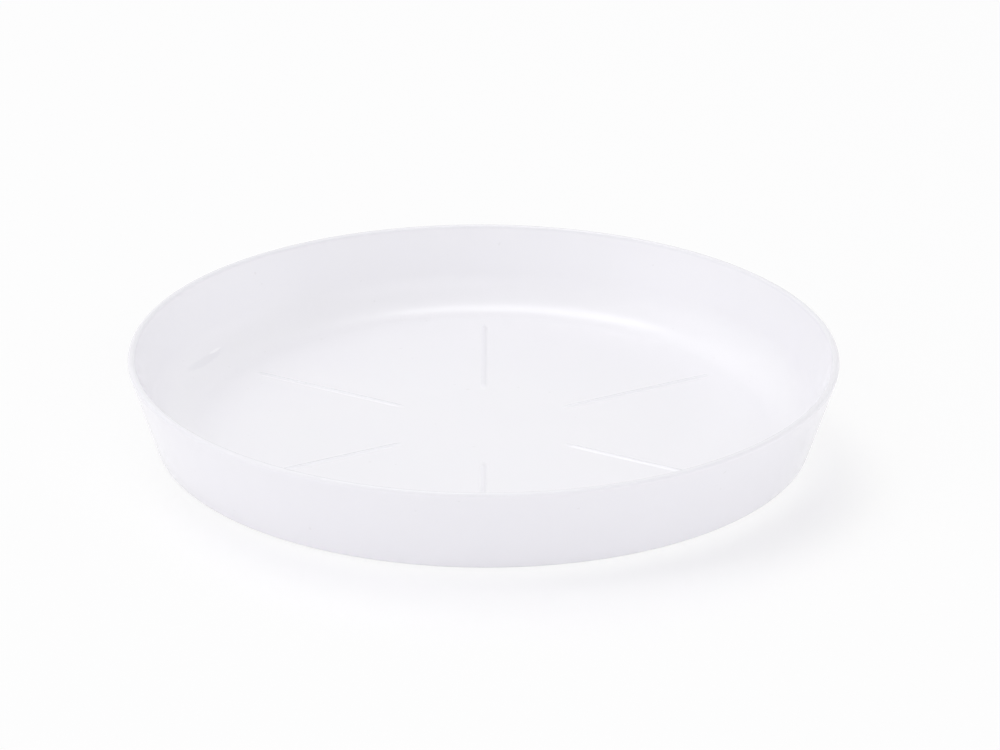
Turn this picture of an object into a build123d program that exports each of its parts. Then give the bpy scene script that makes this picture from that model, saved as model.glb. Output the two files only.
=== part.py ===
from build123d import *
import math
import os

# A low round plant saucer, moulded in one piece of plastic, on six stick-on pads.
# Millimetres, +Z up. The origin is on the saucer's axis, on the surface that it stands on.

# the moulding as a whole
rim_diameter = 200.0
base_diameter = 184.0
saucer_height = 25.0
wall_thickness = 2.0
floor_thickness = 1.8
inner_corner_radius = 14.0
base_edge_radius = 1.0

# how much of the lip's flat top its outer and inner roundings take
lip_outer_share = 0.6
lip_inner_share = 0.3

# low ribs on the floor, which keep the base of a pot clear of it
rib_count = 6
first_rib_angle = 30.0
rib_start_radius = 25.0
rib_end_radius = 77.0
rib_flat_width = 0.6
rib_height = 0.4
rib_crown_radius = 2.4
rib_ramp = 5.0

# underside
foot_band_width = 20.0
underside_rise = 0.3
underside_ramp = 1.5
gate_dimple_radius = 5.0
gate_dimple_ramp = 1.0
gate_dimple_depth = 0.3
gate_stub_radius = 1.2
gate_stub_height = 0.2

# pads, stuck into shallow sockets in the foot band
pad_diameter = 10.0
pad_thickness = 1.0
pad_proud = 0.3
pad_edge_radius = 0.2
socket_clearance = 0.2
pad_inset = 10.0

# places that follow from the sizes above
rim_radius = rim_diameter / 2
base_radius = base_diameter / 2
wall_rise = saucer_height - pad_proud
flare = math.atan((rim_radius - base_radius) / wall_rise)
lip_width = wall_thickness / math.cos(flare)
lip_outer_radius = lip_outer_share * lip_width * math.tan((math.pi / 2 - flare) / 2)
lip_inner_radius = lip_inner_share * lip_width * math.tan((math.pi / 2 + flare) / 2)
floor_top = pad_proud + floor_thickness
floor_corner_radius = base_radius + floor_thickness * math.tan(flare) - lip_width
foot_inner_radius = base_radius - foot_band_width
underside_level = pad_proud + underside_rise
dimple_level = underside_level + gate_dimple_depth
pad_circle_radius = base_radius - pad_inset
socket_depth = pad_thickness - pad_proud


def around(count, start_angle=0.0):
    """Angles of evenly spaced copies about the saucer's axis."""
    return [start_angle + 360 * number / count for number in range(count)]


def moulding_section():
    """Half section of the dish, from the axis out to the rim, with its rounded corners."""
    corners = [
        ((0, dimple_level - gate_stub_height), 0),
        ((gate_stub_radius, dimple_level - gate_stub_height), 0),
        ((gate_stub_radius, dimple_level), 0),
        ((gate_dimple_radius - gate_dimple_ramp, dimple_level), 0),
        ((gate_dimple_radius, underside_level), 0),
        ((foot_inner_radius - underside_ramp, underside_level), 0),
        ((foot_inner_radius, pad_proud), 0),
        ((base_radius, pad_proud), base_edge_radius),
        ((rim_radius, saucer_height), lip_outer_radius),
        ((rim_radius - lip_width, saucer_height), lip_inner_radius),
        ((floor_corner_radius, floor_top), inner_corner_radius),
        ((0, floor_top), 0),
    ]
    outline = FilletPolyline(
        *[point for point, radius in corners],
        radius=[radius for point, radius in corners],
        close=True,
    )
    return Plane.XZ * make_face(outline)


def floor_rib():
    """One rib along +X: a round bar sunk into the floor, flat on top, with a ramp at each end."""
    sunk = floor_thickness / 2
    flat_drop = math.sqrt(rib_crown_radius**2 - (rib_flat_width / 2) ** 2)
    bar = Pos(rib_start_radius, 0, floor_top + rib_height - flat_drop) * extrude(
        Plane.YZ * Circle(rib_crown_radius), rib_end_radius - rib_start_radius
    )
    side = Polyline(
        (rib_start_radius, floor_top - sunk),
        (rib_start_radius, floor_top),
        (rib_start_radius + rib_ramp, floor_top + rib_height),
        (rib_end_radius - rib_ramp, floor_top + rib_height),
        (rib_end_radius, floor_top),
        (rib_end_radius, floor_top - sunk),
        close=True,
    )
    slab = extrude(Plane.XZ * make_face(side), rib_crown_radius, both=True)
    return bar & slab


def pad_socket():
    """The space of one pad's socket, at its place on +X, open downwards."""
    socket_radius = pad_diameter / 2 + socket_clearance
    return Pos(pad_circle_radius, 0, 0) * Cylinder(
        socket_radius, pad_proud + socket_depth, align=(Align.CENTER, Align.CENTER, Align.MIN)
    )


def saucer_shell():
    """The whole moulding: dish, ribs and pad sockets."""
    shell = revolve(moulding_section(), Axis.Z)
    for angle in around(rib_count, first_rib_angle):
        shell += Rot(0, 0, angle) * floor_rib()
    for angle in around(rib_count, first_rib_angle):
        shell -= Rot(0, 0, angle) * pad_socket()
    return shell


def foot_pad():
    """One stick-on pad at its place on +X, flat on top, with a rounded lower edge."""
    pad = Pos(pad_circle_radius, 0, 0) * Cylinder(
        pad_diameter / 2, pad_thickness, align=(Align.CENTER, Align.CENTER, Align.MIN)
    )
    return fillet(pad.edges().group_by(Axis.Z)[0], pad_edge_radius)


os.makedirs("parts", exist_ok=True)
export_step(saucer_shell(), "parts/saucer_shell.step")
for number, angle in enumerate(around(rib_count, first_rib_angle), start=1):
    export_step(Rot(0, 0, angle) * foot_pad(), f"parts/foot_pad_{number}.step")
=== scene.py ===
import math
import bmesh
import bpy
from mathutils import Matrix, Vector


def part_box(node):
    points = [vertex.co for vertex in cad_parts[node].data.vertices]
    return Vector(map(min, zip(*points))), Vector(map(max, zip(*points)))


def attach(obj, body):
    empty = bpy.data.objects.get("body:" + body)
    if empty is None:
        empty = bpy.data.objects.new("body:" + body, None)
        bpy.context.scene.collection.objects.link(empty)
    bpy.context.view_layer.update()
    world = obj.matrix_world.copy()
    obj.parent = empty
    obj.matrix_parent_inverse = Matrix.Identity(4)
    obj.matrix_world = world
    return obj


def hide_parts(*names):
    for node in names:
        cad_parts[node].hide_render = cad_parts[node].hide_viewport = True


# A low round plant saucer in white moulded plastic, standing on six stick-on pads.

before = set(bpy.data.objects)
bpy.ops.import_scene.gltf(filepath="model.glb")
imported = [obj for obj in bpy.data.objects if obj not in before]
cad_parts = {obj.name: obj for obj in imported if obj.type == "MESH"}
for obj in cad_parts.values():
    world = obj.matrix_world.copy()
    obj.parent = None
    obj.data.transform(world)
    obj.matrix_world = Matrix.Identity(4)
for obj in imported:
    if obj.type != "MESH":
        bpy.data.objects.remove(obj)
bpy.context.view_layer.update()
mm = 0.001
plainWhite = (1, 1, 1, 1)
print("frame loaded:", ", ".join(sorted(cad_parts)))

# the lowest and highest corner of the moulding, and of one pad
shellLow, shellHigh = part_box("saucer_shell")
padLow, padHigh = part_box("foot_pad_1")


# a shader socket, so that maths on it is written as a plain expression
class Socket:
    def __init__(self, tree, out):
        self.tree = tree
        self.out = out

    def maths(self, operation, *values):
        return self.node("ShaderNodeMath", {"operation": operation}, dict(enumerate(values)))

    # any other node: its type, its settings, then the values or links of its inputs
    def node(self, kind, settings=None, inputs=None, output=0):
        made = self.tree.nodes.new(kind)
        for name, value in (settings or {}).items():
            setattr(made, name, value)
        for name, value in (inputs or {}).items():
            if isinstance(value, Socket):
                self.tree.links.new(value.out, made.inputs[name])
            else:
                made.inputs[name].default_value = value
        return Socket(self.tree, made.outputs[output])

    def __add__(self, other):
        return self.maths("ADD", self, other)

    def __radd__(self, other):
        return self.maths("ADD", other, self)

    def __sub__(self, other):
        return self.maths("SUBTRACT", self, other)

    def __rsub__(self, other):
        return self.maths("SUBTRACT", other, self)

    def __mul__(self, other):
        return self.maths("MULTIPLY", self, other)

    def __rmul__(self, other):
        return self.maths("MULTIPLY", other, self)

    def __truediv__(self, other):
        return self.maths("DIVIDE", self, other)


# a material with its fixed values set: gives it, its shader, and the place on the piece
def newMaterial(name, finish):
    material = bpy.data.materials.new(name)
    material.use_nodes = True
    tree = material.node_tree
    shader = tree.nodes["Principled BSDF"]
    for socketName, value in finish.items():
        shader.inputs[socketName].default_value = value
    place = tree.nodes.new("ShaderNodeTexCoord").outputs["Object"]
    return material, shader, Socket(tree, place)


def feed(shader, socketName, value):
    value.tree.links.new(value.out, shader.inputs[socketName])


# a place's distances along X, Y and Z
def split(place):
    return [place.node("ShaderNodeSeparateXYZ", None, {"Vector": place}, output=axis) for axis in range(3)]


# how far apart two places are, from their distances along X and Y
def span(right, back):
    square = right * right + back * back
    return square.maths("SQRT", square)


def noise(place, size, detail=2):
    return place.node("ShaderNodeTexNoise", None, {"Vector": place, "Scale": 1 / size, "Detail": detail})


# the value that noise varies about
noiseMiddle = 0.5


# 0 at one value, 1 at the other, smooth between them and level outside
def fade(value, atNone, atFull):
    inputs = {0: value, 1: atNone, 2: atFull}
    return value.node("ShaderNodeMapRange", {"interpolation_type": "SMOOTHSTEP"}, inputs)


def tinted(amount, under, over):
    return amount.node("ShaderNodeMix", {"data_type": "RGBA"}, {0: amount, 6: under, 7: over}, output=2)


# a surface's fine relief, from its height
def relief(height):
    return height.node("ShaderNodeBump", None, {"Strength": 1.0, "Distance": 1.0, "Height": height})


# straight runs in the XZ plane, with an arc spun at each rounded corner: (across, up), radius
def roundedOutline(bm, corners, arcSteps, closed):
    ends = []
    for number, ((across, up), radius) in enumerate(corners):
        corner = Vector((across, 0, up))
        if radius == 0:
            first = last = bm.verts.new(corner)
        else:
            pointBefore = corners[number - 1][0]
            pointAfter = corners[(number + 1) % len(corners)][0]
            before = (Vector((pointBefore[0], 0, pointBefore[1])) - corner).normalized()
            after = (Vector((pointAfter[0], 0, pointAfter[1])) - corner).normalized()
            half = before.angle(after) / 2
            reach = radius / math.tan(half)
            centre = corner + (before + after).normalized() * radius / math.sin(half)
            first = bm.verts.new(corner + before * reach)
            spoke = first.co - centre
            axis = spoke.cross(corner + after * reach - centre)
            spun = bmesh.ops.spin(bm, geom=[first], cent=centre, axis=axis, angle=math.pi - 2 * half,
                                  steps=arcSteps)
            last = [v for v in spun["geom_last"] if isinstance(v, bmesh.types.BMVert)][0]
        ends.append((first, last))
    # a straight run goes from the last point of each corner to the first point of the next
    for corner, nextCorner in zip(ends, ends[1:]):
        bm.edges.new((corner[1], nextCorner[0]))
    if closed:
        bm.edges.new((ends[-1][1], ends[0][0]))


def newPiece(name, bm):
    mesh = bpy.data.meshes.new(name)
    bm.to_mesh(mesh)
    bm.free()
    piece = bpy.data.objects.new(name, mesh)
    bpy.context.scene.collection.objects.link(piece)
    return piece


# adds or cuts away another piece's shape, which is then gone
def combine(piece, other, operation):
    boolean = piece.modifiers.new("combine", "BOOLEAN")
    boolean.operation = operation
    boolean.solver = "EXACT"
    boolean.object = other
    graph = bpy.context.evaluated_depsgraph_get()
    combined = bpy.data.meshes.new_from_object(piece.evaluated_get(graph))
    piece.modifiers.clear()
    piece.data = combined
    bpy.data.objects.remove(other)


dish = dict(
    rimRadius=100 * mm,
    baseRadius=92 * mm,
    rimTop=shellHigh.z,
    baseBottom=shellLow.z,
    wall=2 * mm,
    floor=1.8 * mm,
    innerCorner=14 * mm,
    baseEdge=0.6 * mm,
    lipOuterShare=0.6,  # of the lip's flat top
    lipInnerShare=0.3,
    footBand=20 * mm,
    undersideRise=0.3 * mm,
    undersideRamp=1.5 * mm,
    dimpleRadius=5 * mm,
    dimpleRamp=1 * mm,
    dimpleDepth=0.3 * mm,
    stubRadius=1.2 * mm,
    stubHeight=0.2 * mm,
    roundSteps=240,
    arcSteps=10,
    mergeWithin=0.001 * mm,
    sharpFrom=math.radians(35),
)
floorTop = dish["baseBottom"] + dish["floor"]


def dishPiece(d):
    flare = math.atan((d["rimRadius"] - d["baseRadius"]) / (d["rimTop"] - d["baseBottom"]))
    lip = d["wall"] / math.cos(flare)
    lipOuter = d["lipOuterShare"] * lip * math.tan((math.pi / 2 - flare) / 2)
    lipInner = d["lipInnerShare"] * lip * math.tan((math.pi / 2 + flare) / 2)
    floorCorner = d["baseRadius"] + d["floor"] * math.tan(flare) - lip
    underside = d["baseBottom"] + d["undersideRise"]
    dimple = underside + d["dimpleDepth"]
    footInner = d["baseRadius"] - d["footBand"]
    corners = [
        ((0, dimple - d["stubHeight"]), 0),
        ((d["stubRadius"], dimple - d["stubHeight"]), 0),
        ((d["stubRadius"], dimple), 0),
        ((d["dimpleRadius"] - d["dimpleRamp"], dimple), 0),
        ((d["dimpleRadius"], underside), 0),
        ((footInner - d["undersideRamp"], underside), 0),
        ((footInner, d["baseBottom"]), 0),
        ((d["baseRadius"], d["baseBottom"]), d["baseEdge"]),
        ((d["rimRadius"], d["rimTop"]), lipOuter),
        ((d["rimRadius"] - lip, d["rimTop"]), lipInner),
        ((floorCorner, floorTop), d["innerCorner"]),
        ((0, floorTop), 0),
    ]
    bm = bmesh.new()
    roundedOutline(bm, corners, d["arcSteps"], closed=False)
    bmesh.ops.spin(bm, geom=bm.verts[:] + bm.edges[:], cent=(0, 0, 0), axis=(0, 0, 1), angle=2 * math.pi,
                   steps=d["roundSteps"], use_merge=True)
    bmesh.ops.remove_doubles(bm, verts=bm.verts, dist=d["mergeWithin"])
    bmesh.ops.recalc_face_normals(bm, faces=bm.faces)
    return newPiece("saucerShell", bm)


rib = dict(
    count=6,
    firstAngle=math.radians(30),
    start=25 * mm,
    end=77 * mm,
    width=2.0 * mm,
    topWidth=0.6 * mm,
    height=0.32 * mm,
    edge=1.3 * mm,  # rounding of its top's edges
    root=1.2 * mm,  # rounding between its sides and the floor
    arcSteps=5,
    ramp=5 * mm,
    rampSteps=6,
    sunk=0.9 * mm,
    dip=0.02 * mm,  # how far its root's ends lie under the floor
)


# height of a rib along its length: nothing at its ends, whole between its ramps
def ribRise(r, along):
    fromEnd = min(along, r["end"] - r["start"] - along)
    share = min(1, fromEnd / r["ramp"])
    return share * share * (3 - 2 * share)


def ribPieces(r):
    half = r["width"] / 2
    top = r["topWidth"] / 2
    foot = half + r["root"]
    corners = [
        ((-foot, -r["sunk"]), 0),
        ((-foot, -r["dip"]), 0),
        ((-half, 0), r["root"]),
        ((-top, r["height"]), r["edge"]),
        ((top, r["height"]), r["edge"]),
        ((half, 0), r["root"]),
        ((foot, -r["dip"]), 0),
        ((foot, -r["sunk"]), 0),
    ]
    bm = bmesh.new()
    roundedOutline(bm, corners, r["arcSteps"], closed=True)
    bmesh.ops.contextual_create(bm, geom=bm.edges[:])
    length = r["end"] - r["start"]
    rampStations = [r["ramp"] * step / r["rampSteps"] for step in range(r["rampSteps"] + 1)]
    stations = rampStations + [length - along for along in reversed(rampStations)]
    firstFace = bm.faces[0]
    face = firstFace
    for along, nextAlong in zip(stations, stations[1:]):
        made = bmesh.ops.extrude_face_region(bm, geom=[face])["geom"]
        bmesh.ops.translate(bm, verts=[v for v in made if isinstance(v, bmesh.types.BMVert)],
                            vec=(0, nextAlong - along, 0))
        if face is not firstFace:
            bmesh.ops.delete(bm, geom=[face], context="FACES_ONLY")
        face = [f for f in made if isinstance(f, bmesh.types.BMFace)][0]
    # the ramps: all but the sunk lower edges come down to just under the floor
    for v in bm.verts:
        if v.co.z > -r["sunk"] / 2:
            v.co.z = -r["dip"] + (v.co.z + r["dip"]) * ribRise(r, v.co.y)
    bmesh.ops.translate(bm, verts=bm.verts, vec=(0, r["start"], floorTop))
    bmesh.ops.rotate(bm, verts=bm.verts, cent=(0, 0, 0),
                     matrix=Matrix.Rotation(r["firstAngle"] - math.pi / 2, 3, "Z"))
    # the others are turned copies of the first
    copies = r["count"] - 1
    bmesh.ops.spin(bm, geom=bm.verts[:] + bm.edges[:] + bm.faces[:], cent=(0, 0, 0), axis=(0, 0, 1),
                   angle=2 * math.pi / r["count"] * copies, steps=copies, use_duplicate=True)
    bmesh.ops.recalc_face_normals(bm, faces=bm.faces)
    return newPiece("ribs", bm)


socket = dict(
    fromAxis=(padLow + padHigh).to_2d().length / 2,
    clearance=0.2 * mm,
    roundSteps=48,
)


def socketCutters(s):
    bm = bmesh.new()
    radius = (padHigh.x - padLow.x) / 2 + s["clearance"]
    for number in range(rib["count"]):
        turn = Matrix.Rotation(rib["firstAngle"] + number * 2 * math.pi / rib["count"], 4, "Z")
        place = turn @ Matrix.Translation((s["fromAxis"], 0, padHigh.z / 2))
        bmesh.ops.create_cone(bm, cap_ends=True, segments=s["roundSteps"], radius1=radius, radius2=radius,
                              depth=padHigh.z, matrix=place)
    return newPiece("sockets", bm)


shell = dishPiece(dish)
combine(shell, ribPieces(rib), "UNION")
combine(shell, socketCutters(socket), "DIFFERENCE")
for polygon in shell.data.polygons:
    polygon.use_smooth = True
shell.data.set_sharp_from_angle(angle=dish["sharpFrom"])
weighted = shell.modifiers.new("weightedNormals", "WEIGHTED_NORMAL")
weighted.keep_sharp = True
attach(shell, "root")
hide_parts("saucer_shell")
print("saucer shell:", len(shell.data.polygons), "faces")


plastic = dict(
    ior=1.49,
    white=(0.880, 0.873, 0.913, 1),
    warmer=(0.890, 0.882, 0.912, 1),
    cloudSize=22 * mm,
    peelSize=1.1 * mm,
    peelHeight=0.004 * mm,
    swellSize=14 * mm,
    swellHeight=0.02 * mm,
    roughness=0.22,
    roughnessSpread=0.05,
    lipPaintedShade=(0.838, 0.830, 0.868, 1),  # the lip, painted a little greyer as shade
    lipPaintedShadeFrom=1.1 * mm,  # under its top
    lipPaintedShadeWhole=0.4 * mm,
    ribPaintedShade=(0.850, 0.843, 0.883, 1),  # the tops of the ribs, painted a little greyer as shade
    ribPaintedShadeFrom=0.08 * mm,  # above the floor
    ribPaintedShadeWhole=0.22 * mm,
    ribPaintedShadePast=1 * mm,  # past the outer ends of the ribs
    speck=(0.700, 0.690, 0.700, 1),
    speckSize=1.8 * mm,
    speckRarity=0.845,
    speckSoftness=0.03,
    speckAmount=0.22,
)

# marks painted on the inner corner at the left: a darker streak of painted shade, with a painted highlight
# line beside it
cornerPaintedShade = dict(
    x=-80.6 * mm,
    y=38.4 * mm,
    turn=math.radians(63),
    length=11 * mm,
    width=1.0 * mm,
    colour=(0.848, 0.841, 0.881, 1),
)
cornerPaintedHighlight = dict(
    x=-78.0 * mm,
    y=44.9 * mm,
    turn=math.radians(60),
    length=3.2 * mm,
    width=0.3 * mm,
    colour=(0.940, 0.933, 0.965, 1),
)
# where a mark fades out and in: shares of its own size, squared, then heights above the ground
markEdge = dict(outerShare=1.2, innerShare=0.3, heightFrom=1.5 * mm, heightWhole=3 * mm)


# how far a mark covers the plastic, seen from above: 1 in its middle, with a ragged edge
def markAmount(place, m):
    x, y, height = split(place)
    right, back = x - m["x"], y - m["y"]
    along = (right * math.cos(m["turn"]) + back * math.sin(m["turn"])) / m["length"]
    across = (back * math.cos(m["turn"]) - right * math.sin(m["turn"])) / m["width"]
    ragged = noise(place, m["width"]) - noiseMiddle
    inside = fade(along * along + across * across + ragged, markEdge["outerShare"], markEdge["innerShare"])
    return inside * fade(height, markEdge["heightFrom"], markEdge["heightWhole"])


def shellPlastic(p):
    material, shader, place = newMaterial("shellPlastic", {"IOR": p["ior"]})
    cloud = noise(place, p["cloudSize"], detail=3)
    colour = tinted(cloud, p["white"], p["warmer"])
    x, y, height = split(place)
    # painted shade: the plastic is tinted greyer near the top of the lip
    lipPaintedShade = fade(height, shellHigh.z - p["lipPaintedShadeFrom"], shellHigh.z - p["lipPaintedShadeWhole"])
    colour = tinted(lipPaintedShade, colour, p["lipPaintedShade"])
    # painted shade: the tops of the ribs are tinted greyer
    onFloor = fade(span(x, y), rib["end"] + p["ribPaintedShadePast"], rib["end"])
    ribPaintedShade = fade(height, floorTop + p["ribPaintedShadeFrom"], floorTop + p["ribPaintedShadeWhole"]) * onFloor
    colour = tinted(ribPaintedShade, colour, p["ribPaintedShade"])
    grains = noise(place, p["speckSize"], detail=0)
    specks = fade(grains, p["speckRarity"], p["speckRarity"] + p["speckSoftness"])
    colour = tinted(specks * p["speckAmount"], colour, p["speck"])
    # the painted shade streak and the painted highlight line in the inner corner
    for mark in (cornerPaintedShade, cornerPaintedHighlight):
        colour = tinted(markAmount(place, mark), colour, mark["colour"])
    feed(shader, "Base Color", colour)
    feed(shader, "Roughness", p["roughness"] + (cloud - noiseMiddle) * p["roughnessSpread"])
    peel = noise(place, p["peelSize"]) * p["peelHeight"]
    swell = noise(place, p["swellSize"]) * p["swellHeight"]
    feed(shader, "Normal", relief(peel + swell))
    return material


rubber = dict(
    ior=1.5,
    grey=(0.72, 0.72, 0.73, 1),
    dusty=(0.66, 0.65, 0.63, 1),
    dustSize=2.5 * mm,
    grainSize=0.4 * mm,
    grainHeight=0.02 * mm,
    roughness=0.6,
    roughnessSpread=0.2,
)


def padRubber(p):
    material, shader, place = newMaterial("padRubber", {"IOR": p["ior"]})
    feed(shader, "Base Color", tinted(noise(place, p["dustSize"]), p["grey"], p["dusty"]))
    grain = noise(place, p["grainSize"], detail=4)
    feed(shader, "Roughness", p["roughness"] + (grain - noiseMiddle) * p["roughnessSpread"])
    feed(shader, "Normal", relief(grain * p["grainHeight"]))
    return material


shell.data.materials.clear()
shell.data.materials.append(shellPlastic(plastic))
rubberMaterial = padRubber(rubber)
for name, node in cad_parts.items():
    if name.startswith("foot_pad"):
        node.material_slots[0].material = rubberMaterial
print("materials done")


# 1 for the rays that show a surface, straight, mirrored or through glass, 0 for those that only light
def seenDirectly(tree):
    rays = tree.nodes.new("ShaderNodeLightPath").outputs
    seen = Socket(tree, rays["Is Camera Ray"])
    for name in ("Is Glossy Ray", "Is Transmission Ray"):
        seen = seen.maths("MAXIMUM", seen, Socket(tree, rays[name]))
    return seen


# white paper, shown mostly as plain white: less so where the saucer's shadow falls, and more again
# close to its base
stage = dict(
    size=6.0,
    paper=(0.956, 0.951, 0.968, 1),
    plain=0.985,
    plainShare=0.9,
    shadowPlainShare=0.26,
    shadowX=10 * mm,
    shadowY=-39 * mm,
    shadowEdge=110 * mm,
    shadowInside=78 * mm,
    basePlainShare=0.88,
    baseEdge=106 * mm,
    baseInside=88 * mm,
)


def stageFloor(s):
    bm = bmesh.new()
    bmesh.ops.create_grid(bm, x_segments=1, y_segments=1, size=s["size"])
    floor = newPiece("stageFloor", bm)
    finish = {"Base Color": s["paper"], "Roughness": 1.0, "Specular IOR Level": 0.0}
    material, shader, place = newMaterial("stagePaper", finish)
    tree = material.node_tree
    paper = Socket(tree, shader.outputs[0])
    plain = place.node("ShaderNodeEmission", None, {"Color": plainWhite, "Strength": s["plain"]})
    x, y = split(place)[:2]
    fromShadow = span(x - s["shadowX"], y - s["shadowY"])
    inShadow = fade(fromShadow, s["shadowEdge"], s["shadowInside"])
    nearBase = fade(span(x, y), s["baseEdge"], s["baseInside"])
    shadowShare = s["shadowPlainShare"] + nearBase * (s["basePlainShare"] - s["shadowPlainShare"])
    plainShare = s["plainShare"] + inShadow * (shadowShare - s["plainShare"])
    shown = seenDirectly(tree) * plainShare
    mixed = place.node("ShaderNodeMixShader", None, {0: shown, 1: paper, 2: plain})
    tree.links.new(mixed.out, tree.nodes["Material Output"].inputs["Surface"])
    floor.data.materials.append(material)


# lamps: where they stand as seen from the saucer, in degrees left of its back and up from the floor,
# and how bright their faces are. The mirrored one only shows in the plastic's gloss, and the others
# only light it.
lamps = [
    dict(name="overheadBank", left=12, up=67, away=1.6, wide=1.3, tall=1.35, glow=1.05, mirrored=False),
    dict(name="highlightCard", left=13, up=66, away=1.6, wide=0.85, tall=0.75, glow=2.1, mirrored=True),
    dict(name="keyLamp", left=32, up=40, away=1.8, wide=0.95, tall=0.85, glow=1.4, mirrored=False),
    dict(name="leftPanel", left=110, up=15, away=2.2, wide=1.8, tall=1.0, glow=2.1, mirrored=False),
    dict(name="upperLeftPanel", left=90, up=43, away=1.8, wide=1.1, tall=1.0, glow=1.9, mirrored=False),
    dict(name="rightPanel", left=270, up=15, away=2.2, wide=1.8, tall=1.0, glow=1.75, mirrored=False),
    dict(name="frontPanel", left=205, up=41, away=1.8, wide=1.7, tall=1.0, glow=2.4, mirrored=False),
]


def addLamp(l):
    data = bpy.data.lights.new(l["name"], "AREA")
    data.shape = "ELLIPSE"
    data.size = l["wide"]
    data.size_y = l["tall"]
    data.energy = l["glow"] * math.pi * l["wide"] * l["tall"] * math.pi / 4
    lamp = bpy.data.objects.new(l["name"], data)
    left, up = math.radians(l["left"]), math.radians(l["up"])
    towards = Vector((-math.sin(left) * math.cos(up), math.cos(left) * math.cos(up), math.sin(up)))
    lamp.location = towards * l["away"]
    lamp.rotation_euler = towards.to_track_quat("Z", "Y").to_euler()
    lamp.visible_diffuse = not l["mirrored"]
    lamp.visible_glossy = l["mirrored"]
    bpy.context.scene.collection.objects.link(lamp)


surround = dict(light=0.445, seen=0.985)


def whiteSurround(s):
    world = bpy.data.worlds.new("whiteSurround")
    world.use_nodes = True
    tree = world.node_tree
    tree.nodes.clear()
    shown = seenDirectly(tree)
    light = shown.node("ShaderNodeBackground", None, {"Color": plainWhite, "Strength": s["light"]})
    seen = shown.node("ShaderNodeBackground", None, {"Color": plainWhite, "Strength": s["seen"]})
    both = shown.node("ShaderNodeMixShader", None, {0: shown, 1: light, 2: seen})
    end = tree.nodes.new("ShaderNodeOutputWorld")
    tree.links.new(both.out, end.inputs["Surface"])
    bpy.context.scene.world = world


# lens and sensor in millimetres, distances in metres, angles in degrees
camera = dict(lens=180, sensor=36, nearest=0.01, farthest=100, away=1.4124, up=23.27, yaw=0.188,
              pitch=0.655, roll=-0.254)


def addCamera(c):
    data = bpy.data.cameras.new("camera")
    data.lens = c["lens"]
    data.sensor_width = c["sensor"]
    data.clip_start = c["nearest"]
    data.clip_end = c["farthest"]
    eye = bpy.data.objects.new("camera", data)
    up = math.radians(c["up"])
    eye.location = (0, -c["away"] * math.cos(up), c["away"] * math.sin(up))
    turn = Matrix.Rotation(math.pi / 2 - up, 3, "X")
    for axis, degrees in (("Y", -c["yaw"]), ("X", c["pitch"]), ("Z", -c["roll"])):
        turn = turn @ Matrix.Rotation(math.radians(degrees), 3, axis)
    eye.rotation_euler = turn.to_euler()
    bpy.context.scene.collection.objects.link(eye)
    bpy.context.scene.camera = eye


stageFloor(stage)
for lamp in lamps:
    addLamp(lamp)
whiteSurround(surround)
addCamera(camera)
bpy.context.scene.view_settings.view_transform = "Standard"
print("stage, lamps and camera done")
